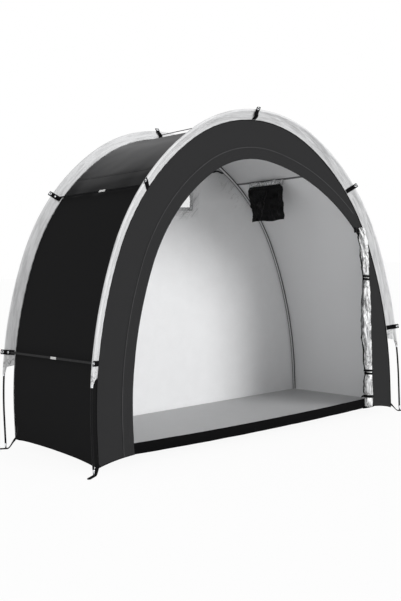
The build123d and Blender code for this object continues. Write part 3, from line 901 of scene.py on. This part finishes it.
def build_sleeve(label, row, seed):
    profile = sleeve_profile()
    runs = accumulate((dist(a, b) for a, b in zip(profile, profile[1:])), initial=0.0)
    end = length_at(SLEEVE_END)

    def place(t, spot):
        (q, h), run = spot
        side, layer = (1, 3) if h > 0 else (-1, 0)
        cuff = (0.012 if row < 0 and t < 0 else 0.034) * smooth(0.75 * FIN, 0.95 * FIN, q)
        s = t * (end - 0.012 * (1 - q / FIN) + cuff)
        low_end = smooth(end - 0.075, end - 0.01, abs(s))
        crease = 0.0030 * rough(s * 9 + q * 30 + seed, q * 22 + layer, seed, 4)
        crease += 0.0022 * rough(s * 3 + q * 9, q * 16 + layer, seed + 5, 2)
        crease += 0.0060 * rough(s * 28, q * 40 + layer, seed + 9, 3) * low_end
        crease *= smooth(0.0, 0.4, q / FIN) * (1 - smooth(0.86, 1.0, q / FIN))
        tug = 0.0003 * sin(TAU * s / 0.06 + 4 * rough(s * 4, seed, 1.0, 2)) * exp(-q / 0.012)
        waver = 0.0004 * rough(s * 9, h * 60, seed + 2, 2)
        squeeze = 1 - 0.12 * smooth(end - 0.02, end + 0.03, abs(s)) if q > 0.8 * FIN else 1
        return sleeve_point(s, row, q + waver, h * squeeze + side * crease * 0.8 + tug), (s, run)

    obj = surface(f"{label}_sleeve_cloth", steps(-1, 1, 300), list(zip(profile, runs)), place)
    finish_piece(obj, sleeve_silver, replaces=(f"{label}_sleeve",), slot="sleeve_silver")
    thicken(obj, TAPE, 0.0)
    foot = S4 - (0.015 if row > 0 else 0.0)
    line = [arch(s, 0.001) for s in steps(-foot, foot, 360)]
    path = [(x, row * (DEPTH + 0.0004), z) for x, z, nx, nz in line]
    finish_piece(tube(f"{label}_arch_piping", path, 0.0017), binding)


def build_ferrules():
    """Bright tubes over the joints of the rods, crimped at both ends."""
    made = []
    for side in (-1, 1):
        for row in (-1, 1):
            low = 0.366 if (side, row) == (-1, -1) else 0.352
            path = [sleeve_point(side * length_at(z), row, FIN, 0.0) for z in steps(low, 0.405, 24)]
            made.append(tube("ferrule", path, lambda i: 0.0052 if i in (1, 2, 22, 23) else 0.0058, 20))
    finish_piece(join("ferrule_tubes", made), bright, replaces=("pole_ferrules",), slot="bright_metal")


build_sleeve("front", -1, 11.0)
build_sleeve("back", 1, 23.0)
build_ferrules()


# Seam in the back corner, inside
seam_line = steps(-S4 + 0.03, S4 - 0.03, 300)


def inside_line(inset, y):
    return [(x, y, z) for x, z, nx, nz in (arch(s, inset) for s in seam_line)]


def tape_side(i):
    x, z, nx, nz = arch(seam_line[i])
    return nx, 0.25, nz


tape = ribbon("back_inside_tape", inside_line(0.0135, 0.3665), tape_side, 0.013, TAPE)
finish_piece(tape, silver_in)
finish_piece(tube("back_inside_piping", inside_line(0.0215, 0.3655), 0.0015), grey_tape)
finish_piece(tube("back_corner_piping", inside_line(0.0065, 0.3645), 0.0018), binding)


# Sill, floor and hems
def build_sill():
    def place(x, v):
        t = (x - JAMB_X) / (HINGE_X - JAMB_X)
        z = SILL_LOW + v * (SILL_TOP - SILL_LOW) - 0.044 * t * (1 - t)
        lean = 0.0016 * rough(x * 7, v * 2, 1.0, 3) + 0.0035 * sin(pi * v)
        point = (x, SILL_FACE - lean * 0.6, z + 0.0008 * rough(x * 10, v, 5.0, 2))
        return point, (x, v * 0.05 - 0.045)

    across = steps(0, 1, 10)
    obj = surface("sill_cloth", steps(JAMB_X, HINGE_X, 150), across, place, out=(0, -1, 0))
    finish_piece(obj, sill_black, silver_in, binding, replaces=("door_sill",), slot="binding_black")
    thicken(obj, 0.0014)


def build_floor():
    def place(x, y):
        edge = min(INNER - abs(y), HALF - abs(x))
        z = 0.0600 + 0.0016 * rough(x * 4, y * 4, 2.0, 4) * smooth(0.0, 0.05, edge)
        z -= 0.0035 * smooth(0.0, 0.2, edge)
        z += 0.0014 * abs(rough(x * 13, y * 9, 6.0, 3)) * smooth(0.0, 0.04, edge)
        return (x, y, z), (x, y)

    half, deep = HALF - 0.0125, INNER - 0.001
    obj = surface(
        "floor_cloth", steps(-half, half, 110), steps(-deep, deep, 42), place, out=(0, 0, 1),
    )
    finish_piece(obj, floor_grey, shell_out, binding, replaces=("floor_sheet",), slot="floor_silver")
    thicken(obj, CLOTH)


def hem_binding(name, path):
    finish_piece(tube(name, path, 0.0019), binding)


build_sill()
build_floor()
for label, across in (("left", steps(-HALF, JAMB_X, 20)), ("right", steps(HINGE_X, HALF, 18))):
    path = [(x, front_y(x, front_hem(x)) - 0.0002, front_hem(x) + 0.001) for x in across]
    hem_binding(f"front_{label}_hem", path)
for label, side in SIDES:
    across = steps(-INNER, INNER, 50)
    path = [shell_point(side * (S3 + SPRING - hem_height(y) - 0.001), y, 0.0002) for y in across]
    hem_binding(f"{label}_wall_hem", path)
hem_binding("back_hem", [(x, 0.3735, back_hem(x) + 0.001) for x in steps(-HALF, HALF, 110)])

# Rolled door: loose turns of cloth drawn in by the ties, as (height, x, radius) from its foot up
ROLL = [
    (0.056, 0.7550, 0.0236), (0.064, 0.7535, 0.0258), (0.090, 0.7545, 0.0258), (0.106, 0.7600, 0.0246),
    (0.114, 0.7600, 0.0246), (0.140, 0.7535, 0.0266), (0.190, 0.7545, 0.0256), (0.226, 0.7625, 0.0212),
    (0.240, 0.7644, 0.0204), (0.254, 0.7625, 0.0214), (0.300, 0.7570, 0.0244), (0.370, 0.7555, 0.0258),
    (0.500, 0.7560, 0.0262), (0.620, 0.7600, 0.0244), (0.700, 0.7640, 0.0206), (0.730, 0.7675, 0.0172),
    (0.746, 0.7684, 0.0165), (0.762, 0.7675, 0.0172), (0.800, 0.7610, 0.0214), (0.860, 0.7555, 0.0256),
    (0.905, 0.7530, 0.0262), (0.950, 0.7480, 0.0250), (0.990, 0.7410, 0.0222), (1.010, 0.7350, 0.0190),
]
ROLL_Y, ROLL_LOW, ROLL_HIGH = -0.380, ROLL[0][0], ROLL[-1][0]
ROLL_BACK = -0.3768
TIES = (0.110, 0.240, 0.745)
# Rings that close the roll's ends, as (share of its radius, rise)
LOWER_RINGS = ((0.12, 0.0022), (0.40, 0.0016), (0.72, -0.0010))
UPPER_RINGS = ((0.7, 0.0025), (0.35, 0.0015), (0.1, -0.001))


def roll_at(z):
    """Centre and radius of the roll at a height."""
    for (z0, x0, r0), (z1, x1, r1) in zip(ROLL, ROLL[1:]):
        if z <= z1:
            t = smooth(z0, z1, z) * 0.5 + 0.5 * (z - z0) / (z1 - z0)
            return x0 + (x1 - x0) * t, r0 + (r1 - r0) * t
    return ROLL[-1][1], ROLL[-1][2]


def roll_point(z, a, grow=0.0):
    """The roll's skin: creases and long folds, pinched at the ties, clear of panel and sleeve."""
    cx, r = roll_at(z)
    ties = min(abs(z - tie) for tie in TIES)
    free = smooth(0.012, 0.07, ties)
    twist = a + z * 2.2
    crease = abs(rough(cos(twist) * 1.2, sin(twist) * 1.2, z * 7, 5)) * 0.0080
    upper = smooth(0.74, 0.80, z)
    swirl = 3 * twist + 5 * upper * (z - 0.75) + 6 * rough(0.0, 1.0, z * 4, 2)
    long_fold = (0.0042 + 0.0042 * upper) * abs(sin(swirl))
    pinch = 0.0016 * sin(11 * a + 2 * sin(z * 40)) * exp(-ties / 0.022)
    r += grow - free * (crease + long_fold) + 0.0026 * free - abs(pinch)
    x, y = cx + r * cos(a), ROLL_Y + r * sin(a)
    if z < SILL_TOP + 0.004:
        y = min(y, ROLL_BACK - 0.001 * cos(a * 3))
    if arch_coords(x, z)[1] < 0.006:
        x = arch(arch_coords(x, z)[0], 0.006)[0]
    if not in_door(x, z, -0.001) and z > 0.8:
        y = min(y, ROLL_BACK)
    return Vector((x, y, z))


def build_roll():
    turns = [TAU * j / 84 for j in range(84)]
    rows = [[roll_point(z, a) for a in turns] for z in steps(ROLL_LOW, ROLL_HIGH, 420)]

    def closing(row, rings):
        centre = sum(row, Vector()) / len(row)
        return [[centre + (p - centre) * share + Vector((0, 0, dz)) for p in row] for share, dz in rings]

    rows = closing(rows[0], LOWER_RINGS) + rows + closing(rows[-1], UPPER_RINGS)
    uvs = [(p.z, a * 0.026) for row in rows for p, a in zip(row, turns)]
    obj = make("rolled_door_cloth", *lattice(rows, True, True), uvs)
    finish_piece(obj, silver_roll, replaces=("rolled_door",), slot="roll_silver")


def roll_strip(name, material, heights, angle, swing, pace, grow, across, sizes):
    """A ribbon up the roll's skin at an angle in degrees, swinging from side to side."""
    path = [roll_point(z, radians(angle + swing * sin(z * pace)), grow) for z in heights]
    finish_piece(ribbon(name, path, lambda i: across, *sizes), material)


def build_tie(label, bands, tail, reach):
    """Webbing bands round the roll, lower on its outer side, and the end of the strap."""
    made = []
    for z, width in bands:
        cx, r = roll_at(z)
        r += 0.0009
        path = [
            (cx + r * cos(a), ROLL_Y + r * sin(a), z - 0.0022 * cos(a))
            for a in steps(0.0, TAU, 40)
        ]
        made.append(ribbon("band", path, lambda i: (0, 0, 1), width, 0.0016))
    cx, r = roll_at(tail)
    end = [
        (cx - r * 0.86 - reach * t, ROLL_Y + r * 0.5 + 0.6 * reach * t, tail + 0.002 - 0.005 * t * t)
        for t in steps(0, 1, 8)
    ]
    made.append(ribbon("end", end, lambda i: (0, 0.2, 1), 0.009, 0.0016))
    finish_piece(join(f"{label}_webbing", made), web_black, replaces=(label,), slot="binding_black")


build_roll()
roll_strip(
    "door_zip_edge", binding, steps(0.128, 0.985, 150), angle=160, swing=9, pace=8, grow=0.0010,
    across=(0.35, -0.93, 0), sizes=(0.0075, 0.0014),
)
# Painted shade: a grey strip up the roll where a deep fold lies in shade.
roll_strip(
    "door_fold_painted_shade", painted_fold_shade, steps(0.48, 0.722, 60), angle=174, swing=4, pace=30, grow=0.0012,
    across=(0.14, -0.99, 0), sizes=(0.016, 0.0012, 0.0014),
)
build_tie("door_tie_lower", ((0.110, 0.0140),), 0.110, 0.014)
build_tie("door_tie_middle", ((0.2320, 0.0110), (0.2482, 0.0110)), 0.2482, 0.004)
build_tie("door_tie_upper", ((0.7368, 0.0110), (0.7530, 0.0115)), 0.7530, 0.003)
bows = [(t, 0.004 * sin(pi * t)) for t in steps(0, 1, 24)]
foot = [(0.715 + 0.083 * t, -0.3790 - bow, 0.0505) for t, bow in bows]
finish_piece(tube("door_foot_binding", foot, 0.0032, 10), binding)

# Flap and its roll, inside under the right roof seam
VENT_Y, VENT_HALF, VENT_LOW = 0.108, 0.128, 1.076
VENT_AT = arch(SEAM_S + 0.008, 0.0203 + shell_drop(SEAM_S + 0.008, 0.095))[:2]


def build_vent_roll():
    x, z = VENT_AT

    def place(t, a):
        y = VENT_Y + VENT_HALF * (2 * t - 1)
        crease = abs(rough(cos(a) * 1.6, sin(a) * 1.6, y * 22, 5)) * 0.0085
        lump = 0.0030 * rough(4.0, 2.0, y * 16, 2) + 0.0012 * sin(3 * a + y * 50)
        r = 0.0178 - crease + lump
        sag = 0.002 * sin(pi * t)
        return (x + r * cos(a), y, z + r * sin(a) - sag), (y, a * 0.017)

    obj = surface("vent_roll_cloth", steps(0, 1, 60), steps(0, TAU, 36)[:-1], place, closed=True)
    finish_piece(obj, silver_vent, replaces=("vent_flap_roll",), slot="roll_silver")


def build_vent_flap():
    """A flap over the front of its roll, with two crossing folds and a drawn-in far corner."""
    x, z = VENT_AT
    top = z - 0.011

    def place(v, u):
        height = top + (VENT_LOW - top) * v + 0.003 * sin(u * 9 + 1) * v
        below = z - height
        wrap = sqrt(max(0.0, 0.0220**2 - below * below)) + 0.001
        hang = x + 0.005 * smooth(0.018, 0.045, below) - wrap
        fold = 0.014 * bell(u - 0.50 - 0.30 * (v - 0.4), 0.05) * smooth(0.05, 0.3, v)
        fold += 0.009 * bell(v - 0.30 - 0.25 * u, 0.035) * smooth(0.35, 0.7, u)
        sway = 0.013 * rough(u * 3.2, v * 2.4, 12.0, 4) * smooth(0.0, 0.3, v)
        pinch = 0.004 * (1 - v) * sin(pi * u) * smooth(0.0, 0.02, below)
        y = VENT_Y + VENT_HALF * (2 * u - 1)
        y += 0.004 * sin(pi * min(v * 1.15, 1.0)) * (1 - 2 * u)
        y += (0.030 * (1 - smooth(0.25, 1.0, v)) - 1.2 * wrap) * smooth(0.5, 1.0, u)
        y -= 0.012 * u**7 * (1 - smooth(0.0, 0.09, v))
        return (hang - abs(fold) * 0.8 - sway - pinch, y, height), (y, height)

    obj = surface(
        "vent_flap_cloth", steps(0, 1, 48), steps(0, 1, 52), place, out=(-1, 0, 0),
    )
    finish_piece(obj, soft_black, replaces=("vent_flap",), slot="binding_black")
    thicken(obj, 0.0011, 0.0)


build_vent_roll()
build_vent_flap()

# Webbing: tabs, foot straps and the loop on the back wall
TAB_ROOT, TAB_LENGTH = 0.003, 0.067
UPPER_S = S1 + SHOULDER_R * (radians(50.5) - CROWN_A)
LOWER_S = S2 + HAUNCH_R * (radians(81.3866) - SHOULDER_A)
TABS = {
    "top_tabs": 0.0, "left_upper_tabs": -UPPER_S, "right_upper_tabs": UPPER_S,
    "left_lower_tabs": -LOWER_S, "right_lower_tabs": LOWER_S,
}


def build_tab(s, row, bend):
    """Webbing from the seam, over the sleeve and the pole, to a free end with an eyelet."""
    tangent = Vector(arch(s + 0.004)[:2]) - Vector(arch(s - 0.004)[:2])
    along = Vector((tangent.x, 0, tangent.y)).normalized()
    rest = 0.0030 if row < 0 else 0.0042

    def place(t, v):
        q = TAB_ROOT + TAB_LENGTH * t
        wave = min(t / 0.72, 1.0)
        h = rest + (0.0078 - rest) * smooth(0.016, FIN - 0.004, q)
        h += bend * 0.006 * sin(pi * wave) ** 2
        h += 0.0006 * (1 - v * v) * (1 - smooth(0.045, 0.052, q))
        cut_end = max(0.0, (q - 0.066) / 0.004)
        half = 0.0117 * (1 - 0.16 * cut_end**2)
        sway = bend * 0.0035 * sin(TAU * wave)
        point = sleeve_point(s, row, q - 0.0006 * cut_end * v * v, -row * h)
        return point + along * (half * v + sway), (q, half * v)

    obj = surface("tab", steps(0, 1, 40), steps(-1, 1, 8), place)
    obj.data.materials.append(web_black)
    return thicken(obj, 0.0015, 0.0)


for node, s in TABS.items():
    pair = [build_tab(s, row, 1.0 if s == 0 else 0.1) for row in (-1, 1)]
    finish_piece(join(f"{node}_webbing", pair), replaces=(node,), slot="binding_black")


def build_foot_strap(label, side, row):
    """Webbing from the corner out along the ground, round the pin, with a rounded end."""
    corner = Vector((side * HALF, row * DEPTH, 0))
    out = Vector((side * POLE_OUT, row * POLE_LEAN, 0)).normalized()
    across = Vector((-out.y, out.x, 0))
    hand = 1 if across.y > 0 else -1
    reach = FIN + 0.045

    def place(q, v):
        rise = 1 - smooth(-0.006, 0.0405, q)
        end = max(0.0, q - reach) / 0.0080
        half = 0.0078 * sqrt(max(0.02, 1 - end**2))
        z = 0.0024 + (0.0465 if row > 0 else 0.0385) * rise
        z += 0.7 * rise * half * v * hand + 0.0004 * (1 - v * v)
        return corner + out * q + across * (half * v) + Vector((0, 0, z)), (q, half * v)

    along = steps(0.0005, reach + 0.0080, 40)
    name = f"{label}_foot_webbing"
    obj = surface(name, along, steps(-1, 1, 6), place, out=(0, 0, 1))
    finish_piece(obj, web_black, replaces=(f"{label}_foot_strap",), slot="binding_black")
    thicken(obj, 0.0042, 0.0)


def build_loop():
    path = []
    for t in steps(0, 1, 24):
        x, z = 0.357 + 0.076 * t, 1.3675 + 0.0045 * sin(TAU * (t - 0.1))
        path.append((x, back_y(x, z) - 0.0022 - 0.005 * sin(pi * t), z))
    obj = ribbon("back_wall_loop_webbing", path, lambda i: (0.1, 0, 1), 0.0085, 0.0013)
    finish_piece(obj, web_black, replaces=("back_wall_loop",), slot="binding_black")


# Eyelets, rivets and pin tips
def lathe(name, profile, place, axis, sides=28):
    """A closed profile of (radius, height) turned about an axis."""
    turn = Vector((0, 0, 1)).rotation_difference(Vector(axis)).to_matrix()
    rows = [
        [Vector(place) + turn @ Vector((r * cos(a), r * sin(a), h)) for r, h in profile]
        for a in steps(0, TAU, sides)
    ]
    return make(name, *lattice(rows, closed=True))


def ring(radius, wall, height, place, axis):
    """A rounded ring: its radius, half its wall and half its height."""
    turns = [TAU * i / 16 for i in range(16)]
    profile = [(radius + wall * cos(a), height * sin(a)) for a in turns]
    return lathe("ring", profile, place, axis)


def build_eyelets():
    bores = [m for m in frame["record"]["mounts"] if m["kind"] == "bore"]
    made = [ring(0.0052, 0.0019, 0.00165, m["pos_m"], m["axis"]) for m in bores]
    finish_piece(join("eyelet_rings", made), bright, replaces=("eyelets",), slot="bright_metal")


def build_rivets():
    made = []
    for s in (0.0, UPPER_S, -UPPER_S, LOWER_S, -LOWER_S):
        axis = sleeve_point(s, 1, 0.0, 1.0) - sleeve_point(s, 1, 0.0, 0.0)
        made.append(ring(0.0034, 0.0019, 0.0013, sleeve_point(s, 1, 0.0345, -0.0078), axis))
    finish_piece(join("strap_rivets", made), bright, slot="bright_metal")


def build_tips():
    profile = [
        (0.0014, 0.0), (0.0028, 0.0002), (0.0049, 0.0245), (0.0052, 0.0262), (0.0050, 0.0290),
        (0.0038, 0.0294), (0.0012, 0.0060),
    ]
    feet = [(s * (HALF + POLE_OUT), r * (DEPTH + POLE_LEAN), 0.0) for s in (-1, 1) for r in (-1, 1)]
    made = [lathe("tip", profile, foot, (0, 0, 1), 20) for foot in feet]
    finish_piece(join("pin_tips", made), bright, slot="bright_metal")


build_eyelets()
build_rivets()
for end_label, row in ENDS:
    for side_label, side in SIDES:
        build_foot_strap(f"{end_label}_{side_label}", side, row)
build_loop()
build_tips()

# Finishes for the CAD nodes that stay
# The lower cross straps take the webbing with a painted highlight.
FINISHES = {
    "back_window_pane": clear, "strap_tags": tag_white, "left_lower_cross_strap": web_strap_painted_highlight,
    "right_lower_cross_strap": web_strap_painted_highlight,
}
for name, node in frame["nodes"].items():
    if not node.hide_render:
        plain = rod_black if name.endswith(("_pole", "_leg")) else web_box
        node.data.materials.clear()
        node.data.materials.append(FINISHES.get(name, plain))


# Floor, light and camera
def build_stage():
    reach, low = 40, -0.0006
    corners = [(-reach, -reach, low), (reach, -reach, low), (reach, reach, low), (-reach, reach, low)]
    ground = make("ground", corners, [(0, 1, 2, 3)])
    m = Shader("ground", Base_Color=(0.86, 0.86, 0.86, 1), Roughness=0.9)
    glow = m.node("ShaderNodeEmission", {"Color": (1, 1, 1, 1), "Strength": 1.0})
    surfaces = {0: m.seen() * 0.93, 1: m.shader.outputs[0], 2: glow.outputs[0]}
    mixed = m.node("ShaderNodeMixShader", surfaces)
    m.put(m.tree.nodes["Material Output"].inputs["Surface"], mixed.outputs[0])
    ground.data.materials.append(m.material)


def build_world():
    world = bpy.data.worlds.new("studio")
    bpy.context.scene.world = world
    world.use_nodes = True
    world.node_tree.nodes.clear()
    tree = Tree(world.node_tree)
    light = {"Color": (1, 1, 1, 1), "Strength": tree.seen().span(0.62, 1.0)}
    back = tree.node("ShaderNodeBackground", light)
    tree.node("ShaderNodeOutputWorld", {"Surface": back.outputs[0]})


def lamp(name, kind, place, target, energy, **settings):
    data = bpy.data.lights.new(name, kind)
    data.energy = energy
    for key, value in settings.items():
        setattr(data, key, value)
    obj = add(name, data)
    obj.location = place
    obj.rotation_euler = (Vector(target) - Vector(place)).to_track_quat("-Z", "Y").to_euler()


def build_camera():
    """The photo's camera; its focal length and the picture's height are in pixels."""
    yaw, pitch, roll = 0.8974, -0.0508, -0.0393
    focal_px, height_px = 900.71, 601
    ahead = Vector((cos(yaw) * cos(pitch), sin(yaw) * cos(pitch), sin(pitch)))
    right = Vector((sin(yaw), -cos(yaw), 0))
    up = right.cross(ahead)
    x_axis = right * cos(roll) + up * sin(roll)
    y_axis = up * cos(roll) - right * sin(roll)
    data = bpy.data.cameras.new("camera")
    data.sensor_width = 36.0
    data.lens = focal_px * data.sensor_width / height_px
    data.clip_end = 200
    obj = add("camera", data)
    turn = Matrix((x_axis, y_axis, -ahead)).transposed().to_4x4()
    obj.matrix_world = Matrix.Translation((-2.9261, -3.58535, 0.9028)) @ turn
    bpy.context.scene.camera = obj


build_stage()
build_world()
lamp("key", "SUN", (1.3, -4.0, 2.2), (0, 0, 0.6), 1.9, angle=radians(30))
lamp("side", "AREA", (-4.5, 1.5, 2.6), (-0.6, 0.2, 0.8), 22.0, size=3.0)
build_camera()
bpy.context.scene.view_settings.view_transform = "Standard"
